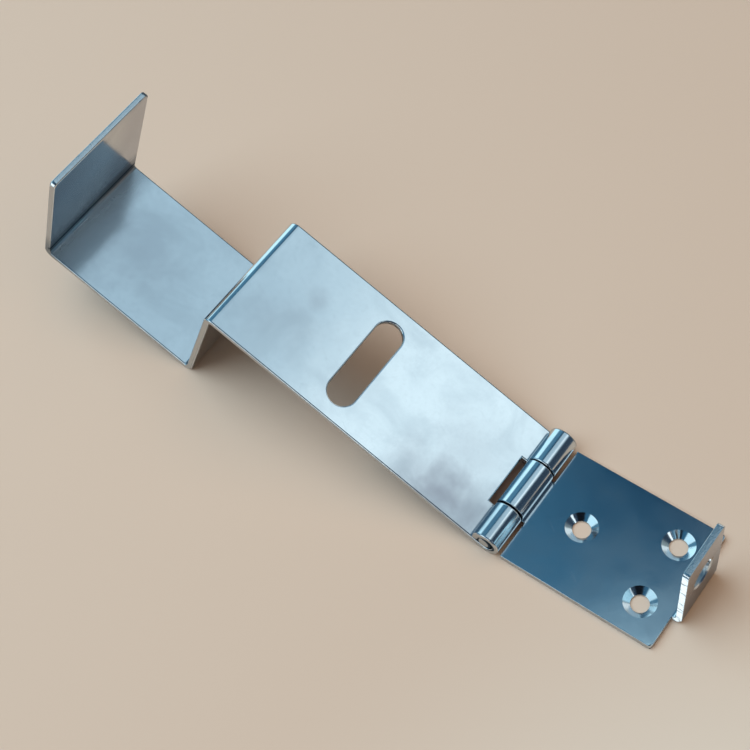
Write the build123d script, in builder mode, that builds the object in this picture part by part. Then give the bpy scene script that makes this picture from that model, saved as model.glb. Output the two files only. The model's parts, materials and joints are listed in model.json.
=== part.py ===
from build123d import *
from math import asin, atan2, cos, degrees, hypot, sin
import os

# Padlock hasp, in millimetres: a folded strap hinged to a folded back plate. The back plate lies flat
# on z = 0 and runs to +X, the hinge axis is parallel to Y above the origin, and the strap leans up
# towards -X on its lower fold.

# Sheet stock, the same for both folded strips
SHEET = 2.0
FOLD_INSIDE_RADIUS = 1.0
STRAP_WIDTH = 40.0
PLATE_SET_BACK = 0.4  # on each side, from the strap's edge to the plate's

# Hinge
PIN_DIAMETER = 4.0
PIN_CLEARANCE = 0.35  # radial, if the pin stood in the middle of its bores
PIN_SEAT_CLEARANCE = 0.05  # on the side where the loose pin lies against the bores
PIN_SEAT_ANGLE = 230.0  # of that side, from +X towards +Z
PIN_RECESS = 0.15  # from the strap's side to the pin's end
PIN_CHAMFER = 0.15
MIDDLE_KNUCKLE = 15.3
KNUCKLE_GAP = 0.5  # along the pin, between neighbouring knuckles
SEAM_GAP = 0.12  # between a rolled end and the sheet that it comes back to
PLATE_ROOT_GAP = 0.5  # from the barrel to the plate's edge beside the middle knuckle
STRAP_ROOT_GAP = 1.5  # from the barrel to the strap's edge behind the middle knuckle

# Strap, from the hinge to its free end
STRAP_REACH = 99.5  # pin axis to the riser's outer face
STEP_DROP = 44.0  # underside of the upper flat to underside of the lower flat
HOOK_LENGTH = 58.0  # riser's inner face to the flange's outer face
FLANGE_HEIGHT = 50.0  # underside of the lower flat to the flange's free edge
FLANGE_CORNER = 1.5

# Back plate
PLATE_REACH = 52.5  # pin axis to the plate's end, where the tab starts to bend
PLATE_CORNER = 1.2
SCREW_HOLE = 5.3
SCREW_HEAD = 9.4  # rim of the countersink
COUNTERSINK_ANGLE = 110.0
NEAR_SCREW_REACH = 18.7  # pin axis to the screw hole on the middle line
FAR_SCREWS_REACH = 43.4
FAR_SCREWS_SPACING = 20.0

# Staple tab, bent up at the plate's end
TAB_WIDTH = 18.0
TAB_HEIGHT = 29.5
TAB_CORNER = 1.2
PADLOCK_HOLE = 9.0
PADLOCK_HOLE_HEIGHT = 16.5
PADLOCK_HOLE_CHAMFER = 0.4

# Slot that lets the tab through when the strap folds over the plate
SLOT_OUTER_GAP = 0.4  # beyond the circle that the tab's top corner stands on
SLOT_INNER_GAP = 1.0  # inside the tab's inner face
SLOT_END_GAP = 1.75  # beside the tab, before the round ends begin

# Barrel: the sheet rolled round the pin, with its underside as the barrel's outside
bore_radius = PIN_DIAMETER / 2 + PIN_CLEARANCE
roll_radius = bore_radius + SHEET / 2
barrel_radius = bore_radius + SHEET
roll_end_angle = degrees(asin((barrel_radius - SHEET - SEAM_GAP) / barrel_radius))
roll_turn = 270 + roll_end_angle

# The loose pin, off the middle of its bores
pin_shift = PIN_CLEARANCE - PIN_SEAT_CLEARANCE

# Folds, by the middle line of the sheet and by its outside
fold_middle_radius = FOLD_INSIDE_RADIUS + SHEET / 2
fold_outside_radius = FOLD_INSIDE_RADIUS + SHEET

# Plate and tab, and the slot that clears the tab as the strap swings
plate_width = STRAP_WIDTH - 2 * PLATE_SET_BACK
tab_outer_reach = PLATE_REACH + fold_outside_radius
tab_corner_swing = hypot(tab_outer_reach, TAB_HEIGHT - barrel_radius)
slot_near_side = tab_outer_reach - SHEET - SLOT_INNER_GAP
slot_far_side = tab_corner_swing + SLOT_OUTER_GAP
slot_width = slot_far_side - slot_near_side
slot_length = TAB_WIDTH + 2 * SLOT_END_GAP + slot_width

# Lean of the strap at rest: the round outside of its lower fold touches z = 0
fold_centre_reach = STRAP_REACH - SHEET + fold_outside_radius
fold_centre_drop = barrel_radius + STEP_DROP - fold_outside_radius
lean = atan2(fold_centre_drop, fold_centre_reach) + asin(
    (fold_outside_radius - barrel_radius) / hypot(fold_centre_reach, fold_centre_drop)
)

# Section planes through the pin axis. In both, x runs along the flat away from the hinge and y
# points from the flat to the side that the barrel stands on.
pin_centre = (0, 0, barrel_radius)
along_strap = (-cos(lean), 0, sin(lean))
strap_section = Plane(pin_centre, x_dir=along_strap, z_dir=(0, 1, 0))
plate_section = Plane(pin_centre, x_dir=(1, 0, 0), z_dir=(0, -1, 0))
flat_line = -roll_radius

with BuildPart() as hasp_strap:
    riser_line = STRAP_REACH - SHEET / 2
    lower_line = flat_line - STEP_DROP
    flange_line = STRAP_REACH - SHEET + HOOK_LENGTH - SHEET / 2
    flange_edge = FLANGE_HEIGHT - STEP_DROP - barrel_radius

    # One strip, rolled at the hinge and folded four times
    with BuildSketch(strap_section):
        with BuildLine():
            CenterArc((0, 0), roll_radius, -90, -roll_turn)
            FilletPolyline(
                (0, flat_line),
                (riser_line, flat_line),
                (riser_line, lower_line),
                (flange_line, lower_line),
                (flange_line, flange_edge),
                radius=fold_middle_radius,
            )
        trace(line_width=SHEET)
    extrude(amount=STRAP_WIDTH / 2, both=True)

    # Room for the plate's knuckle, which leaves the strap's two outer knuckles
    with BuildSketch(strap_section):
        Rectangle(
            2 * (barrel_radius + STRAP_ROOT_GAP), 2 * (barrel_radius + STRAP_ROOT_GAP)
        )
    extrude(amount=MIDDLE_KNUCKLE / 2 + KNUCKLE_GAP, both=True, mode=Mode.SUBTRACT)

    # Slot across the upper flat
    with BuildSketch(Plane(pin_centre, x_dir=along_strap, z_dir=strap_section.y_dir)):
        with Locations(((slot_near_side + slot_far_side) / 2, 0)):
            SlotOverall(slot_length, slot_width, rotation=90)
    extrude(amount=-barrel_radius - SHEET, mode=Mode.SUBTRACT)

    # Rounded corners on the flange's free edge
    along_edges = hasp_strap.edges().filter_by(Axis(pin_centre, along_strap))
    fillet(along_edges.sort_by(Axis(pin_centre, along_strap))[-2:], FLANGE_CORNER)

with BuildPart() as back_plate:
    tab_line = tab_outer_reach - SHEET / 2

    # One strip, rolled at the hinge and folded up at its end
    with BuildSketch(plate_section):
        with BuildLine():
            CenterArc((0, 0), roll_radius, -90, -roll_turn)
            FilletPolyline(
                (0, flat_line),
                (tab_line, flat_line),
                (tab_line, TAB_HEIGHT - barrel_radius),
                radius=fold_middle_radius,
            )
        trace(line_width=SHEET)
    extrude(amount=plate_width / 2, both=True)

    # Outline of the strip from above: middle knuckle, plate and tab
    plate_root = barrel_radius + PLATE_ROOT_GAP
    with BuildSketch(Plane.XY):
        with Locations((-barrel_radius, 0)):
            Rectangle(
                barrel_radius + tab_outer_reach,
                MIDDLE_KNUCKLE,
                align=(Align.MIN, Align.CENTER),
            )
        with Locations((plate_root, 0)):
            Rectangle(
                PLATE_REACH - plate_root, plate_width, align=(Align.MIN, Align.CENTER)
            )
            Rectangle(
                tab_outer_reach - plate_root,
                TAB_WIDTH,
                align=(Align.MIN, Align.CENTER),
            )
    extrude(amount=TAB_HEIGHT, mode=Mode.INTERSECT)

    # Countersunk screw holes
    far_screw_side = FAR_SCREWS_SPACING / 2
    with Locations(
        (NEAR_SCREW_REACH, 0, SHEET),
        (FAR_SCREWS_REACH, far_screw_side, SHEET),
        (FAR_SCREWS_REACH, -far_screw_side, SHEET),
    ):
        CounterSinkHole(
            SCREW_HOLE / 2,
            SCREW_HEAD / 2,
            depth=SHEET,
            counter_sink_angle=COUNTERSINK_ANGLE,
        )

    # Padlock hole through the tab, with broken rims
    tab_face = Plane((tab_outer_reach, 0, PADLOCK_HOLE_HEIGHT), z_dir=(1, 0, 0))
    with Locations(tab_face):
        Hole(PADLOCK_HOLE / 2, depth=SHEET)
    chamfer(
        back_plate.edges(Select.LAST).filter_by(GeomType.CIRCLE), PADLOCK_HOLE_CHAMFER
    )

    # Rounded corners: the tab's top, then the plate's two end corners
    top_edges = back_plate.edges().filter_by(Axis.X).group_by(Axis.Z)[-1]
    fillet(top_edges, TAB_CORNER)
    upright_edges = back_plate.edges().filter_by(Axis.Z)
    side_edges = upright_edges.group_by(Axis.Y)[0] + upright_edges.group_by(Axis.Y)[-1]
    fillet(side_edges.group_by(Axis.X)[-1], PLATE_CORNER)

with BuildPart() as hinge_pin:
    with BuildSketch(plate_section):
        with PolarLocations(pin_shift, 1, start_angle=PIN_SEAT_ANGLE):
            Circle(PIN_DIAMETER / 2)
    extrude(amount=STRAP_WIDTH / 2 - PIN_RECESS, both=True)
    chamfer(hinge_pin.edges().filter_by(GeomType.CIRCLE), PIN_CHAMFER)

hasp_strap.part.label = "hasp_strap"
back_plate.part.label = "back_plate"
hinge_pin.part.label = "hinge_pin"

os.makedirs("parts", exist_ok=True)
export_step(hasp_strap.part, "parts/hasp_strap.step")
export_step(back_plate.part, "parts/back_plate.step")
export_step(hinge_pin.part, "parts/hinge_pin.step")
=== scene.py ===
"""Padlock hasp: the finish of its strap, back plate and hinge pin, and the stage they stand on."""

import json
import math

import bpy
from mathutils import Euler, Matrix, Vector


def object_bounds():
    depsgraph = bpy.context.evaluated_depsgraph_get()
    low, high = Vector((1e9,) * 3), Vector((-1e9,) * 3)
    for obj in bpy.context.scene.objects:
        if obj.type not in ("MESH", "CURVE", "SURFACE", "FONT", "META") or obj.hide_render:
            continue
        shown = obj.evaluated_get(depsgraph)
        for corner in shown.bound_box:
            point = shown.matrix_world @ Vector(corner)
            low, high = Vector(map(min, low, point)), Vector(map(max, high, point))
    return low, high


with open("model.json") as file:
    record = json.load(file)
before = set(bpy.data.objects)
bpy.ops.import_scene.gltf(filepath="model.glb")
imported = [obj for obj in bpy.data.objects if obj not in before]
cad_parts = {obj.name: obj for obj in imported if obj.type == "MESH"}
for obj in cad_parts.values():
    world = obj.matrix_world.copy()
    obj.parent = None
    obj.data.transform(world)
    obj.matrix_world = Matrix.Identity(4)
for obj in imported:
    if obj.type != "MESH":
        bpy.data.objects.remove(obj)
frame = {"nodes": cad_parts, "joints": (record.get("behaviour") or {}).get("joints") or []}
CAD_LOW, CAD_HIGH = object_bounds()

bl_info = {
    "name": "Padlock Hasp",
    "version": (1, 0, 0),
    "blender": (4, 5, 0),
    "location": "View3D > Sidebar > Hasp",
    "description": "Zinc plated finish for a hinged sheet steel hasp, with its stage",
    "category": "Object",
}

MM = 0.001
PIN_AXIS = Vector(frame["joints"][0]["pos_m"])
LEAN = math.radians(23.585)  # of the strap at rest, above the table

# Directions
ALONG_PLATE = (1.0, 0.0, 0.0)
ALONG_PIN = (0.0, 1.0, 0.0)
UP = (0.0, 0.0, 1.0)
ALONG_STRAP = (-math.cos(LEAN), 0.0, math.sin(LEAN))
BACK_ALONG_STRAP = (math.cos(LEAN), 0.0, -math.sin(LEAN))
OFF_STRAP = (math.sin(LEAN), 0.0, math.cos(LEAN))

# How softly a mask ends: over a length of steel, and over the turn of a face
CRISP = 0.05 * MM
CRISP_ROUND = 0.1 * MM
FACE_BLUR = 0.1
# Each fade below gives where it starts and ends, and its strength at the start and at the end

# Hinge, by distances from the pin's axis, for its painted shade
BORE_RIM = 2.45 * MM
KNUCKLE_RIM = 4.5 * MM
INNER_SIDES = 9 * MM  # the knuckles' sides that face each other lie closer in than this
SHADED_END = (0.45 * MM, 0.15 * MM, 2.8 * MM)  # painted dark crescent: x and z from the axis, and radius
# The painted shade leaves out this round on the pin's ends
LIT_PIN_END = (-0.75 * MM, -0.3 * MM, 1.8 * MM)
LIT_PIN_BLUR = 0.15 * MM

# Strap, by distances along it and square to it from the origin, which is below the pin
SLOT_START, SLOT_END = 45 * MM, 75 * MM
FLANGE_START = 150 * MM
FLANGE_MIDDLE = -30 * MM
FREE_EDGE_SHARE = 0.5
FLANGE_SHADE_FADE = (0.0, 16 * MM, 0.0, 0.75)  # painted shade inside the flange, across, from the middle
FAR_RIM = 18.8 * MM  # painted shade along the far edge: from the middle to the far long edge, just inside its corner
FAR_RIM_SHADE = 0.85

# Strap, by distances along it and square to it from the pin's axis
UPPER_FLAT, LOWER_FLAT = -2.35 * MM, -46.35 * MM  # tops of the two flats
# Painted shade: a dark line in the flange's fold, and shade fading out from it
FLANGE_FOLD = (153.5 * MM, -43.4 * MM)
FOLD_RADIUS, FOLD_BLUR = 1.0 * MM, 0.8 * MM
FOLD_SHADE_FADE = (0.5 * MM, 11 * MM, 0.55, 0.0)
# Dull, darker patches on the flats: the flat, reach from the pin, place across, radius (mm) and
# strength
DULL_PATCHES = (
    (UPPER_FLAT, 9, -15, 14, 0.75),
    (UPPER_FLAT, 18, -16, 15, 1.00),
    (UPPER_FLAT, 27, -15, 12, 0.55),
    (UPPER_FLAT, 20, -2, 16, 0.30),
    (UPPER_FLAT, 78.6, 5, 5, 0.42),
    (UPPER_FLAT, 80, -4, 12, 0.20),
    (UPPER_FLAT, 89, -8, 9, 0.25),
    (LOWER_FLAT, 133, -2, 22, 0.30),
)
PATCH_FADE = 1.25  # where a patch ends, in its own radius

# Plate and tab, by distances along the plate, across it and up, from the origin
PLATE_TOP = 2.0 * MM
PLATE_ROOT = 4.3 * MM
ROOT_SIDE = 7.6 * MM  # the plate's ends start this far from the middle
TAB_SIDES, TAB_FACE = 52.6 * MM, 54 * MM
TAB_TOP = 20 * MM
TAB_TOP_SHARE = 0.5
HOLE_START = 52 * MM
HOLE_CENTRE, HOLE_RIM = (0.0, 0.0, 16.5 * MM), 5 * MM
# Painted shade on the tab's outer face, then a painted contact shadow darkening it towards its foot
TAB_FACE_SHADE_FADE = (0.0, 30 * MM, 1.0, 0.8)
TAB_FOOT_SHADOW_FADE = (2 * MM, 28 * MM, 0.45, 0.12)
NOTCH_PITCH = 1.3 * MM  # steps in the tab's sheared sides
NOTCH_DEPTH = 1.0 * MM

# Scratches in the plating
SCRATCH_TURN = (0.3, 0.5, 0.6)
SCRATCH_SHIFT = (0.2, 0.14, 0.26)
SCRATCH_STRETCH = (0.02, 1.0, 0.02)
SCRATCH_SPACING, SCRATCH_WIDTH = 9 * MM, 0.05 * MM

# Worn edges
MERGED = 0.001 * MM
FLAT_WITHIN = math.radians(0.5)
CUT_EDGE = math.radians(60)
CRISP_RIM = math.radians(33)
ROUNDING_STEPS = 3
PLATE_ROUNDING = 0.4  # share of the strap's

# Table, with a painted pool of light towards one corner and a painted contact shadow under the
# hinge
TABLE_HALF = 1.2
TABLE_CLOUD = 0.97  # share of the table's colour that is left in its clouds
LIGHT_POOL_GAIN = (1.16, 1.33, 1.44)
LIGHT_POOL_CENTRE = (0.17, -0.10, 0.0)
LIGHT_POOL_FADE = (0.05, 0.19, 1.0, 0.0)
# Painted contact shadow on the table under the hinge
HINGE_SHADOW_CENTRE = (-1.5 * MM, 0.0, 0.0)
HINGE_SHADOW_SIZES = (1 / (8 * MM), 1 / (19 * MM), 0.0)
HINGE_SHADOW_FADE = (0.75, 1.05, 0.70, 0.0)
HINGE_SHADOW_COLOUR = (0.09, 0.03, 0.02)

# Area lights: name, width, tint, heading from the hasp and distance
LIGHTS = (
    ("key", 1.6, (0.71, 0.92, 1.0), (-0.44, -0.27, 0.86), 1.3),
    ("fill", 3.4, (1.0, 0.70, 0.46), (0.22, 0.05, 0.97), 1.9),
)

CAMERA_PLACE = (116.91 * MM, -162.84 * MM, 385.70 * MM)
CAMERA_TURN = (32.170, 5.812, 36.614)  # degrees
CAMERA_SENSOR = 36.0

# The dark room that the steel mirrors: its colour, ahead, on the left and on the right
WALLS = (0.035, 0.14, 0.25)
WALLS_AHEAD = (0.005, 0.045, 0.10)
WALLS_LEFT = (0.09, 0.24, 0.37)
WALLS_RIGHT = (0.035, 0.06, 0.095)
# What is seen on its walls, as blocks of headings: low corner, high corner, softness and colour
FAR_LOW = ((-1.0, 0.55, -1.0), (1.0, 1.0, 0.40), 0.12, (0.30, 0.37, 0.39))
RIGHT_LOW = ((0.2, -0.3, -1.0), (1.0, 0.60, 0.10), 0.08, (0.12, 0.16, 0.20))
CEILING = ((-0.108, 0.10, 0.5), (0.337, 0.62, 1.0), 0.02, (0.495, 0.675, 0.795))
CEILING_FAR = ((0.24, 0.385, 0.5), (0.337, 0.62, 1.0), 0.025, (0.66, 0.845, 0.955))
CEILING_END = ((0.337, 0.30, 0.4), (0.555, 0.62, 1.0), 0.09, (0.50, 0.68, 0.80))
CEILING_NEAR = ((-0.177, 0.10, 0.5), (-0.10, 0.351, 1.0), 0.014, (0.62, 0.92, 1.06))
PANEL = ((0.329, 0.12, 0.5), (0.475, 0.62, 1.0), 0.02, (1.03, 1.21, 1.29))
WINDOW = ((-1.0, -0.06, -0.06), (-0.4, 0.78, 0.60), 0.04, (0.80, 1.25, 1.45))
NEAR_WINDOW = ((-0.60, -1.0, 0.02), (0.30, -0.72, 0.50), 0.05, (1.40, 1.55, 1.60))
FAR_WINDOW = ((-0.30, 0.82, 0.10), (0.50, 1.0, 0.50), 0.04, (0.85, 0.96, 1.00))
SIDE_WINDOW = ((-0.86, -0.80, 0.40), (-0.20, -0.33, 0.72), 0.03, (0.75, 1.12, 1.30))
LAMP = ((0.73, -0.07, 0.50), (0.86, 0.09, 0.67), 0.02, (1.5, 1.7, 1.8))
ROOM_BLOCKS = (
    FAR_LOW,
    RIGHT_LOW,
    CEILING_END,
    CEILING,
    CEILING_NEAR,
    CEILING_FAR,
    PANEL,
    WINDOW,
    SIDE_WINDOW,
    NEAR_WINDOW,
    FAR_WINDOW,
    LAMP,
)
# The camera itself, mirrored as a dark round shape
SHADE_HEADING = (0.42, -0.52, 0.74)
SHADE_INNER, SHADE_OUTER = math.radians(15), math.radians(21)
SHADE_COLOUR = (0.006, 0.008, 0.012)


class SteelSettings(bpy.types.PropertyGroup):
    """Colours and wear of the plated sheet and the pin."""

    zinc: bpy.props.FloatVectorProperty(
        name="Zinc",
        description="Colour of the bright zinc plating",
        subtype="COLOR",
        size=3,
        min=0.0,
        max=1.0,
        default=(0.70, 0.755, 0.785),
    )
    stain: bpy.props.FloatVectorProperty(
        name="Stain",
        description="Colour of the faint clouds in the plating",
        subtype="COLOR",
        size=3,
        min=0.0,
        max=1.0,
        default=(0.61, 0.665, 0.70),
    )
    sheared: bpy.props.FloatVectorProperty(
        name="Sheared edge",
        description="Colour of the cut edges of the sheet",
        subtype="COLOR",
        size=3,
        min=0.0,
        max=1.0,
        default=(0.50, 0.52, 0.53),
    )
    # Colour of the dull, darker patches on the flats, also used as painted shade on the flange's
    # inner face and the tab's outer face
    dull_patch_and_shade: bpy.props.FloatVectorProperty(
        name="Patch_and_shade_paint",
        description="Colour of the dull marks that hands left",
        subtype="COLOR",
        size=3,
        min=0.0,
        max=1.0,
        default=(0.37, 0.38, 0.42),
    )
    # Painted shade: the dark colour put in the bores, the knuckles' gaps, the flange's fold, along
    # the far edge and at the tab's foot
    painted_shade: bpy.props.FloatVectorProperty(
        name="Shade_paint",
        description="Colour of the bores and the gaps between the knuckles",
        subtype="COLOR",
        size=3,
        min=0.0,
        max=1.0,
        default=(0.035, 0.065, 0.095),
    )
    roughness: bpy.props.FloatProperty(
        name="Roughness",
        description="Blur of reflections in the flats",
        subtype="FACTOR",
        min=0.02,
        max=0.8,
        default=0.12,
    )
    edge_rounding: bpy.props.FloatProperty(
        name="Edge rounding",
        description="Width of the worn edge along every cut",
        subtype="DISTANCE",
        unit="LENGTH",
        min=0.0,
        max=0.0006,
        default=0.0005,
    )


class StageSettings(bpy.types.PropertyGroup):
    """Table, lights and camera."""

    table: bpy.props.FloatVectorProperty(
        name="Table",
        description="Colour of the table",
        subtype="COLOR",
        size=3,
        min=0.0,
        max=1.0,
        default=(0.570, 0.474, 0.408),
    )
    key_power: bpy.props.FloatProperty(
        name="Key light",
        description="Power of the large soft light above",
        subtype="POWER",
        unit="POWER",
        min=0.0,
        max=500.0,
        default=19.5,
    )
    fill_power: bpy.props.FloatProperty(
        name="Fill light",
        description="Power of the wide warm light overhead",
        subtype="POWER",
        unit="POWER",
        min=0.0,
        max=500.0,
        default=33.5,
    )
    room: bpy.props.FloatProperty(
        name="Room",
        description="Strength of the room that the steel reflects",
        min=0.0,
        max=4.0,
        default=1.0,
    )
    lens: bpy.props.FloatProperty(
        name="Lens",
        description="Focal length of the camera",
        subtype="DISTANCE_CAMERA",
        min=20.0,
        max=200.0,
        default=73.481,
    )


class Board:
    """A node tree with short ways to add and join nodes."""

    def __init__(self, tree):
        self.tree = tree
        tree.nodes.clear()

    def join(self, value, socket):
        if isinstance(value, bpy.types.NodeSocket):
            self.tree.links.new(value, socket)
        else:
            socket.default_value = value

    def node(self, kind, inputs=None, **settings):
        made = self.tree.nodes.new(kind)
        for key, value in settings.items():
            setattr(made, key, value)
        for key, value in (inputs or {}).items():
            self.join(value, made.inputs[key])
        return made

    def math(self, operation, first, second=0.0):
        made = self.node("ShaderNodeMath", operation=operation)
        self.join(first, made.inputs[0])
        self.join(second, made.inputs[1])
        return made.outputs[0]

    def vector(self, operation, first, second):
        made = self.node("ShaderNodeVectorMath", operation=operation)
        self.join(first, made.inputs[0])
        self.join(second, made.inputs[1])
        return made

    def scale(self, vector, factors):
        return self.vector("MULTIPLY", vector, factors).outputs["Vector"]

    def dot(self, vector, direction):
        return self.vector("DOT_PRODUCT", vector, direction).outputs["Value"]

    def reach(self, vector, centre, sizes=(1.0, 1.0, 1.0)):
        """Distance from a centre, each direction measured in its own size."""
        offset = self.vector("SUBTRACT", vector, centre).outputs["Vector"]
        scaled = self.scale(offset, sizes)
        made = self.node("ShaderNodeVectorMath", {"Vector": scaled}, operation="LENGTH")
        return made.outputs["Value"]

    def ramp(self, value, low, high, to_low=0.0, to_high=1.0):
        made = self.node("ShaderNodeMapRange", interpolation_type="SMOOTHSTEP")
        for socket, setting in zip(made.inputs[:5], (value, low, high, to_low, to_high)):
            self.join(setting, socket)
        return made.outputs["Result"]

    def noise(self, place, scale, detail=2.0, rough=0.5, distortion=0.0):
        made = self.node(
            "ShaderNodeTexNoise",
            {
                "Vector": place,
                "Scale": scale,
                "Detail": detail,
                "Roughness": rough,
                "Distortion": distortion,
            },
        )
        return made.outputs["Fac"]

    def mix(self, factor, first, second):
        """Mixes two colours. The node's colour sockets come after those of its other kinds."""
        made = self.node("ShaderNodeMix", data_type="RGBA")
        self.join(factor, made.inputs[0])
        self.join(first, made.inputs[6])
        self.join(second, made.inputs[7])
        return made.outputs[2]

    def bump(self, height, strength, distance, normal=None):
        made = self.node(
            "ShaderNodeBump", {"Height": height, "Strength": strength, "Distance": distance}
        )
        if normal is not None:
            self.join(normal, made.inputs["Normal"])
        return made.outputs[0]

    def above(self, value, level, soft=CRISP):
        """1 where a value is over a level."""
        return self.ramp(value, level - soft, level + soft)

    def below(self, value, level, soft=CRISP):
        """1 where a value is under a level."""
        return self.ramp(value, level - soft, level + soft, 1.0, 0.0)

    def inverse(self, mask):
        return self.math("SUBTRACT", 1.0, mask)

    def both(self, first, *masks):
        """1 where all the masks are 1."""
        for mask in masks:
            first = self.math("MULTIPLY", first, mask)
        return first

    def either(self, first, *masks):
        """The strongest of the masks."""
        for mask in masks:
            first = self.math("MAXIMUM", first, mask)
        return first


class SteelBoard(Board):
    """The node tree of a steel finish, with masks for places and faces of the piece."""

    def __init__(self, tree):
        super().__init__(tree)
        coords = self.node("ShaderNodeTexCoord")
        self.place, self.facing = coords.outputs["Object"], coords.outputs["Normal"]

    def along(self, direction):
        """How far a point lies in a direction."""
        return self.dot(self.place, direction)

    def turned(self, direction):
        """How far a face turns to a direction, from -1 to 1."""
        return self.dot(self.facing, direction)

    def faces(self, direction, level=0.8):
        """1 where a face looks in a direction."""
        return self.above(self.turned(direction), level, FACE_BLUR)

    def sideways(self, low=0.75, high=0.95):
        """1 where a face looks along the hinge pin, as the strip's long cut edges do."""
        return self.ramp(self.math("ABSOLUTE", self.turned(ALONG_PIN)), low, high)

    def from_line(self, x, z):
        """Distance from a line that runs in the hinge pin's direction."""
        return self.reach(self.place, (x, 0.0, z), (1.0, 0.0, 1.0))

    def round_pin(self, x, z, radius, soft):
        """1 inside a round that stands x and z off the hinge pin's axis."""
        return self.below(self.from_line(PIN_AXIS.x + x, PIN_AXIS.z + z), radius, soft)


def colour(values):
    """A property's colour as a four-part socket value."""
    return (*values, 1.0)


def steel_settings():
    return bpy.context.scene.hasp_steel


def stage_settings():
    return bpy.context.scene.hasp_stage


def on_strap(reach, height):
    """Table coordinates of a point given along the strap's upper flat and square to it."""
    x = -reach * math.cos(LEAN) + height * math.sin(LEAN)
    z = PIN_AXIS.z + reach * math.sin(LEAN) + height * math.cos(LEAN)
    return x, z


def scratches(board):
    """Thin straight scratches, all leaning the same way, broken up along their length."""
    turned = board.node(
        "ShaderNodeMapping",
        {"Vector": board.place, "Rotation": SCRATCH_TURN, "Location": SCRATCH_SHIFT},
    ).outputs[0]
    cells = board.node(
        "ShaderNodeTexVoronoi",
        {"Vector": board.scale(turned, SCRATCH_STRETCH), "Scale": 1.0 / SCRATCH_SPACING},
        feature="DISTANCE_TO_EDGE",
    ).outputs["Distance"]
    lines = board.ramp(cells, 0.0, SCRATCH_WIDTH / SCRATCH_SPACING, 1.0, 0.0)
    gaps = board.ramp(board.noise(turned, 180.0, detail=1.0), 0.56, 0.66)
    return board.both(lines, gaps)


def saw_steps(board, mask):
    """Steps that the shears left, each one sloping up and out."""
    height = board.along((0.0, 0.0, 1.0 / NOTCH_PITCH))
    wander = board.math("MULTIPLY", board.noise(board.place, 350.0, detail=1.0), 0.5)
    step = board.math("FRACT", board.math("ADD", height, wander))
    return board.both(board.inverse(step), mask)


def zinc_material(name, cut_edges, dark_parts):
    """Bright zinc plating. The two functions add nodes that tell the sheared parts, and the dull
    patches and painted shade.
    """
    look = steel_settings()
    material = bpy.data.materials.new(name)
    material.use_nodes = True
    board = SteelBoard(material.node_tree)
    place = board.place

    clouds = board.noise(place, 55.0, detail=4.0, rough=0.55, distortion=0.6)
    blotches = board.noise(place, 140.0, detail=5.0, rough=0.6, distortion=0.3)
    mottle = board.noise(place, 700.0, detail=3.0, rough=0.6)
    grain = board.noise(board.scale(place, (1.0, 0.06, 1.0)), 2600.0)
    marks = scratches(board)
    sheared, notched = cut_edges(board)
    patched_and_shaded, painted_dark = dark_parts(board)

    zinc, stain = colour(look.zinc), colour(look.stain)
    tone = board.mix(board.ramp(clouds, 0.42, 0.68), zinc, stain)
    tone = board.mix(board.ramp(blotches, 0.60, 0.8, 0.0, 0.6), tone, stain)
    tone = board.mix(board.ramp(mottle, 0.45, 0.75, 0.0, 0.35), tone, stain)
    uneven = board.ramp(blotches, 0.30, 0.62, 0.85, 1.0)
    # Dull patches, and painted shade on the flange's inner face and the tab's outer face
    tone = board.mix(board.both(patched_and_shaded, uneven), tone, colour(look.dull_patch_and_shade))
    tone = board.mix(sheared, tone, colour(look.sheared))
    tone = board.mix(notched, tone, zinc)
    # Painted shade in the bores, the gaps, the fold, along the far edge and at the tab's foot
    tone = board.mix(painted_dark, tone, colour(look.painted_shade))

    blur = board.ramp(clouds, 0.35, 0.7, look.roughness, look.roughness + 0.04)
    blur = board.math("ADD", blur, board.ramp(grain, 0.4, 0.8, 0.0, 0.008))
    for mask, added in ((marks, 0.05), (patched_and_shaded, 0.06), (sheared, 0.22), (painted_dark, 0.30)):
        blur = board.math("ADD", blur, board.math("MULTIPLY", mask, added))
    blur = board.math("MINIMUM", blur, 1.0)

    swell = board.noise(place, 75.0, detail=1.5)
    ripple = board.noise(place, 420.0)
    torn = board.both(board.noise(place, 1900.0, detail=3.0), sheared)
    surface = board.bump(swell, 0.12, 0.35 * MM)
    surface = board.bump(ripple, 0.06, 0.05 * MM, surface)
    surface = board.bump(marks, 0.12, -0.02 * MM, surface)
    surface = board.bump(torn, 0.6, 0.20 * MM, surface)
    surface = board.bump(saw_steps(board, notched), 1.0, NOTCH_DEPTH, surface)

    shader = board.node(
        "ShaderNodeBsdfPrincipled",
        {"Base Color": tone, "Metallic": 1.0, "Roughness": blur, "Normal": surface},
    )
    board.node("ShaderNodeOutputMaterial", {"Surface": shader.outputs[0]})
    return material


def strap_edges(board):
    """The strap's long edges, the slot's wall and the flange's free edge. Nothing is notched."""
    reach = board.along(ALONG_STRAP)
    slot = board.both(
        board.above(reach, SLOT_START),
        board.below(reach, SLOT_END),
        board.above(board.math("ABSOLUTE", board.turned(ALONG_STRAP)), 0.5, FACE_BLUR),
    )
    free_edge = board.both(
        board.faces(OFF_STRAP),
        board.above(reach, FLANGE_START),
        board.above(board.along(OFF_STRAP), FLANGE_MIDDLE),
        FREE_EDGE_SHARE,
    )
    return board.either(board.sideways(), slot, free_edge), 0.0


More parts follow.
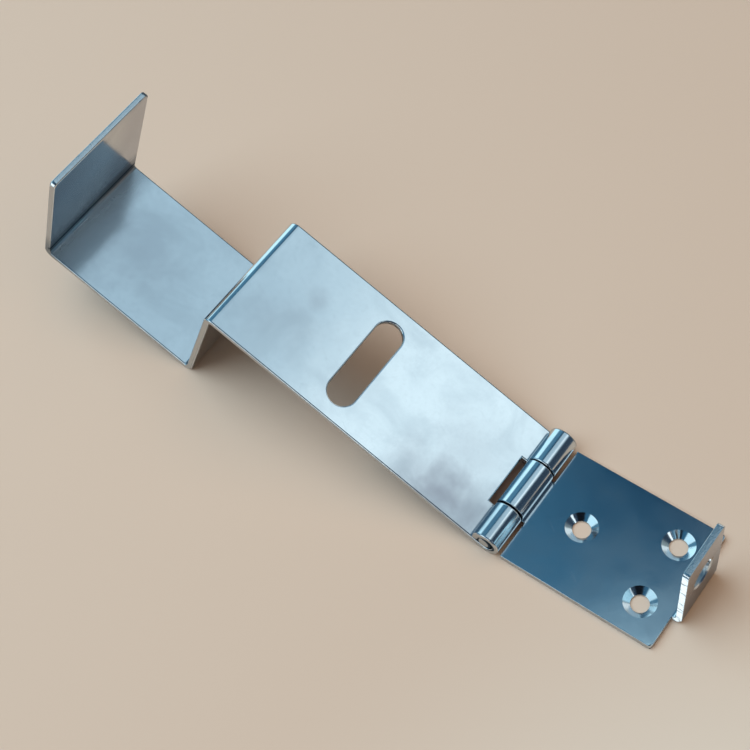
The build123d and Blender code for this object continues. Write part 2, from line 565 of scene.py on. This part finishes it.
def plate_edges(board):
    """The plate's long edges and ends, the tab's top and hole, and the tab's notched sides."""
    height, reach = board.along(UP), board.along(ALONG_PLATE)
    lengthwise = board.math("ABSOLUTE", board.turned(ALONG_PLATE))
    ends = board.both(
        board.above(lengthwise, 0.8, FACE_BLUR),
        board.below(height, PLATE_TOP),
        board.above(board.math("ABSOLUTE", board.along(ALONG_PIN)), ROOT_SIDE),
        board.above(reach, PLATE_ROOT),
    )
    top = board.both(board.faces(UP, 0.7), board.above(height, TAB_TOP), TAB_TOP_SHARE)
    hole = board.both(
        board.above(reach, HOLE_START),
        board.below(board.reach(board.place, HOLE_CENTRE, (0.0, 1.0, 1.0)), HOLE_RIM),
        board.below(lengthwise, 0.6, FACE_BLUR),
    )
    sides = board.sideways()
    notched = board.both(sides, board.above(reach, TAB_SIDES))
    cut = board.either(sides, ends, top, hole)
    return board.both(cut, board.inverse(notched)), notched


def pin_edges(board):
    """The pin's two ends, which are cut off plain."""
    return board.sideways(0.5, 0.9), 0.0


def hinge_painted_shade(board):
    """Painted shade in the bores, on the knuckles' sides that face each other, and in a crescent on
    the outer sides.
    """
    side = board.sideways()
    bore = board.both(board.round_pin(0.0, 0.0, BORE_RIM, CRISP), board.inverse(side))
    between = board.both(
        board.round_pin(0.0, 0.0, KNUCKLE_RIM, CRISP_ROUND),
        board.below(board.math("ABSOLUTE", board.along(ALONG_PIN)), INNER_SIDES),
        side,
    )
    crescent = board.both(board.round_pin(*SHADED_END, CRISP_ROUND), side)
    return board.either(bore, between, crescent)


def far_edge_shade(board):
    """Painted shade along the rounded far long edge."""
    turned = board.turned(ALONG_PIN)
    return board.both(
        board.above(turned, 0.2, FACE_BLUR),
        board.below(turned, 0.8, FACE_BLUR),
        board.above(board.along(ALONG_PIN), FAR_RIM),
        FAR_RIM_SHADE,
    )


def strap_patches_and_shade(board):
    """Dull patches on the flats, painted shade inside the flange, and a painted dark line and shade
    at the flange's fold.
    """
    ragged = board.ramp(board.noise(board.place, 170.0), 0.25, 0.75, -0.12, 0.18)
    spots = []
    for height, reach, across, radius, strength in DULL_PATCHES:
        x, z = on_strap(reach * MM, height)
        away = board.reach(board.place, (x, across * MM, z), (1.0 / (radius * MM),) * 3)
        away = board.math("ADD", away, ragged)
        spots.append(board.ramp(away, 0.0, PATCH_FADE, strength, 0.0))
    # Painted shade dims the reflection on the flange's inner face
    dimmed_reflection = board.both(
        board.faces(BACK_ALONG_STRAP),
        board.above(board.along(ALONG_STRAP), FLANGE_START),
        board.ramp(board.along(ALONG_PIN), *FLANGE_SHADE_FADE),
    )
    # Painted shade in and near the flange's fold
    from_fold = board.from_line(*on_strap(*FLANGE_FOLD))
    fold = board.below(from_fold, FOLD_RADIUS, FOLD_BLUR)
    shaded = board.ramp(from_fold, *FOLD_SHADE_FADE)
    dark = board.either(hinge_painted_shade(board), fold, shaded, far_edge_shade(board))
    return board.either(*spots, dimmed_reflection), dark


def plate_painted_shade(board):
    """Painted shade on the tab's outer face, and a painted shadow that darkens it towards its foot.
    """
    outer = board.both(
        board.faces(ALONG_PLATE), board.above(board.along(ALONG_PLATE), TAB_FACE)
    )
    height = board.along(UP)
    dimmed_reflection = board.both(outer, board.ramp(height, *TAB_FACE_SHADE_FADE))
    foot_shadow = board.both(outer, board.ramp(height, *TAB_FOOT_SHADOW_FADE))
    return dimmed_reflection, board.either(hinge_painted_shade(board), far_edge_shade(board), foot_shadow)


def pin_painted_shade(board):
    """Painted shade on the pin's wall, and on its ends outside the round that is left lit."""
    wall = board.inverse(board.sideways(0.2, 0.5))
    lit = board.round_pin(*LIT_PIN_END, LIT_PIN_BLUR)
    return 0.0, board.either(wall, board.inverse(lit))


def coat(node, material):
    """Gives a CAD node its material."""
    piece = frame["nodes"][node]
    for slot in piece.material_slots:
        slot.material = material
    if not piece.material_slots:
        piece.data.materials.append(material)
    return piece


def wear(piece, rounded, joined=False):
    """Rounds a piece's cut edges with modifiers, which leave its mesh alone."""
    seams = piece.modifiers.new("seams_joined", "WELD")
    seams.merge_threshold = MERGED
    if joined:
        flats = piece.modifiers.new("flats_joined", "DECIMATE")
        flats.decimate_type = "DISSOLVE"
        flats.angle_limit = FLAT_WITHIN
    rounding = piece.modifiers.new("worn_edges", "BEVEL")
    rounding.width = rounded
    rounding.segments = ROUNDING_STEPS
    rounding.limit_method = "ANGLE"
    rounding.angle_limit = CUT_EDGE
    rounding.use_clamp_overlap = False
    rims = piece.modifiers.new("crisp_rims", "EDGE_SPLIT")
    rims.split_angle = CRISP_RIM
    piece.modifiers.new("even_normals", "WEIGHTED_NORMAL")


class HASP_OT_strap(bpy.types.Operator):
    """Finish the folded strap"""

    bl_idname = "hasp.strap"
    bl_label = "Strap"

    def execute(self, context):
        strap = coat("hasp_strap", zinc_material("zinc_strap", strap_edges, strap_patches_and_shade))
        wear(strap, steel_settings().edge_rounding, joined=True)
        return {"FINISHED"}


class HASP_OT_plate(bpy.types.Operator):
    """Finish the back plate with its staple tab"""

    bl_idname = "hasp.plate"
    bl_label = "Back plate"

    def execute(self, context):
        plate = coat("back_plate", zinc_material("zinc_plate", plate_edges, plate_painted_shade))
        wear(plate, PLATE_ROUNDING * steel_settings().edge_rounding)
        return {"FINISHED"}


class HASP_OT_pin(bpy.types.Operator):
    """Finish the hinge pin"""

    bl_idname = "hasp.pin"
    bl_label = "Hinge pin"

    def execute(self, context):
        coat("hinge_pin", zinc_material("zinc_pin", pin_edges, pin_painted_shade))
        return {"FINISHED"}


def table_material():
    """Matt table with faint clouds, a fine fibre, a painted pool of light and a painted shadow
    under the hinge.
    """
    look = stage_settings()
    material = bpy.data.materials.new("table")
    material.use_nodes = True
    board = Board(material.node_tree)
    place = board.node("ShaderNodeTexCoord").outputs["Object"]
    darker = tuple(part * TABLE_CLOUD for part in look.table)
    pool_colour = tuple(part * gain for part, gain in zip(look.table, LIGHT_POOL_GAIN))
    tone = board.mix(board.noise(place, 4.0), colour(look.table), colour(darker))
    # Painted pool of light, lighter towards one corner of the table
    corner = board.ramp(board.reach(place, LIGHT_POOL_CENTRE), *LIGHT_POOL_FADE)
    tone = board.mix(corner, tone, colour(pool_colour))
    # Painted contact shadow under the hinge
    hinge_shadow = board.ramp(board.reach(place, HINGE_SHADOW_CENTRE, HINGE_SHADOW_SIZES), *HINGE_SHADOW_FADE)
    tone = board.mix(hinge_shadow, tone, colour(HINGE_SHADOW_COLOUR))
    shader = board.node(
        "ShaderNodeBsdfPrincipled",
        {
            "Base Color": tone,
            "Roughness": 0.7,
            "Specular IOR Level": 0.25,
            "Normal": board.bump(board.noise(place, 900.0), 0.05, 0.1 * MM),
        },
    )
    board.node("ShaderNodeOutputMaterial", {"Surface": shader.outputs[0]})
    return material


def room_block(board, parts, low, high, soft):
    """1 for headings between two corners, with soft sides. A side at -1 or 1 is left open."""
    mask = 1.0
    for part, least, most in zip(parts, low, high):
        if least > -1.0:
            mask = board.both(mask, board.above(part, least, soft))
        if most < 1.0:
            mask = board.both(mask, board.below(part, most, soft))
    return mask


def light_room():
    """The room that the steel mirrors. The table gets no light from it."""
    world = bpy.data.worlds.new("room")
    bpy.context.scene.world = world
    world.use_nodes = True
    world.cycles_visibility.diffuse = False
    board = Board(world.node_tree)
    heading = board.node("ShaderNodeTexCoord").outputs["Generated"]
    parts = board.node("ShaderNodeSeparateXYZ", {"Vector": heading}).outputs[:3]
    across, ahead = parts[:2]
    walls = board.mix(board.ramp(ahead, 0.34, 0.43), colour(WALLS), colour(WALLS_AHEAD))
    walls = board.mix(board.ramp(across, -0.22, -0.36), walls, colour(WALLS_LEFT))
    walls = board.mix(board.ramp(across, -0.10, 0.50), walls, colour(WALLS_RIGHT))
    for low, high, soft, shine in ROOM_BLOCKS:
        walls = board.mix(room_block(board, parts, low, high, soft), walls, colour(shine))
    near = board.dot(heading, tuple(Vector(SHADE_HEADING).normalized()))
    shade = board.ramp(near, math.cos(SHADE_OUTER), math.cos(SHADE_INNER))
    walls = board.mix(shade, walls, colour(SHADE_COLOUR))
    backdrop = board.node(
        "ShaderNodeBackground", {"Color": walls, "Strength": stage_settings().room}
    )
    board.node("ShaderNodeOutputWorld", {"Surface": backdrop.outputs[0]})


def add_lights():
    """Two large soft lights that the steel doesn't mirror: a cool one and a wide warm one."""
    powers = stage_settings().key_power, stage_settings().fill_power
    for power, (name, width, tint, heading, distance) in zip(powers, LIGHTS):
        lamp = bpy.data.lights.new(name, "AREA")
        lamp.shape = "DISK"
        lamp.size = width
        lamp.energy = power
        lamp.color = tint
        light = bpy.data.objects.new(name, lamp)
        bpy.context.collection.objects.link(light)
        toward = Vector(heading).normalized()
        light.location = toward * distance
        light.rotation_euler = toward.to_track_quat("Z", "Y").to_euler()
        light.visible_glossy = False


def add_camera():
    lens = bpy.data.cameras.new("camera")
    lens.sensor_width = CAMERA_SENSOR
    lens.lens = stage_settings().lens
    camera = bpy.data.objects.new("camera", lens)
    bpy.context.collection.objects.link(camera)
    camera.location = CAMERA_PLACE
    camera.rotation_euler = Euler(tuple(math.radians(turn) for turn in CAMERA_TURN))
    bpy.context.scene.camera = camera


def add_table():
    half = TABLE_HALF
    mesh = bpy.data.meshes.new("table")
    corners = [(-half, -half, 0), (half, -half, 0), (half, half, 0), (-half, half, 0)]
    mesh.from_pydata(corners, [], [(0, 1, 2, 3)])
    table = bpy.data.objects.new("table", mesh)
    table.location.z = CAD_LOW.z
    bpy.context.collection.objects.link(table)
    mesh.materials.append(table_material())


class HASP_OT_stage(bpy.types.Operator):
    """Set the table, the lights and the camera"""

    bl_idname = "hasp.stage"
    bl_label = "Stage"

    def execute(self, context):
        add_table()
        light_room()
        add_lights()
        add_camera()
        context.scene.view_settings.view_transform = "Standard"
        return {"FINISHED"}


class HASP_PT_panel(bpy.types.Panel):
    """Finish and stage of the hasp"""

    bl_idname = "HASP_PT_panel"
    bl_label = "Padlock Hasp"
    bl_space_type = "VIEW_3D"
    bl_region_type = "UI"
    bl_category = "Hasp"

    def draw(self, context):
        column = self.layout.column()
        for group in (context.scene.hasp_steel, context.scene.hasp_stage):
            for name in group.bl_rna.properties.keys():
                if name not in ("rna_type", "name"):
                    column.prop(group, name)
        for operator in OPERATORS:
            column.operator(operator.bl_idname)


OPERATORS = (HASP_OT_strap, HASP_OT_plate, HASP_OT_pin, HASP_OT_stage)
CLASSES = (SteelSettings, StageSettings, *OPERATORS, HASP_PT_panel)


def register():
    for made in CLASSES:
        bpy.utils.register_class(made)
    bpy.types.Scene.hasp_steel = bpy.props.PointerProperty(type=SteelSettings)
    bpy.types.Scene.hasp_stage = bpy.props.PointerProperty(type=StageSettings)


def unregister():
    del bpy.types.Scene.hasp_stage
    del bpy.types.Scene.hasp_steel
    for made in reversed(CLASSES):
        bpy.utils.unregister_class(made)


def main():
    register()
    bpy.ops.hasp.strap()
    bpy.ops.hasp.plate()
    bpy.ops.hasp.pin()
    bpy.ops.hasp.stage()


if __name__ == "__main__":
    main()
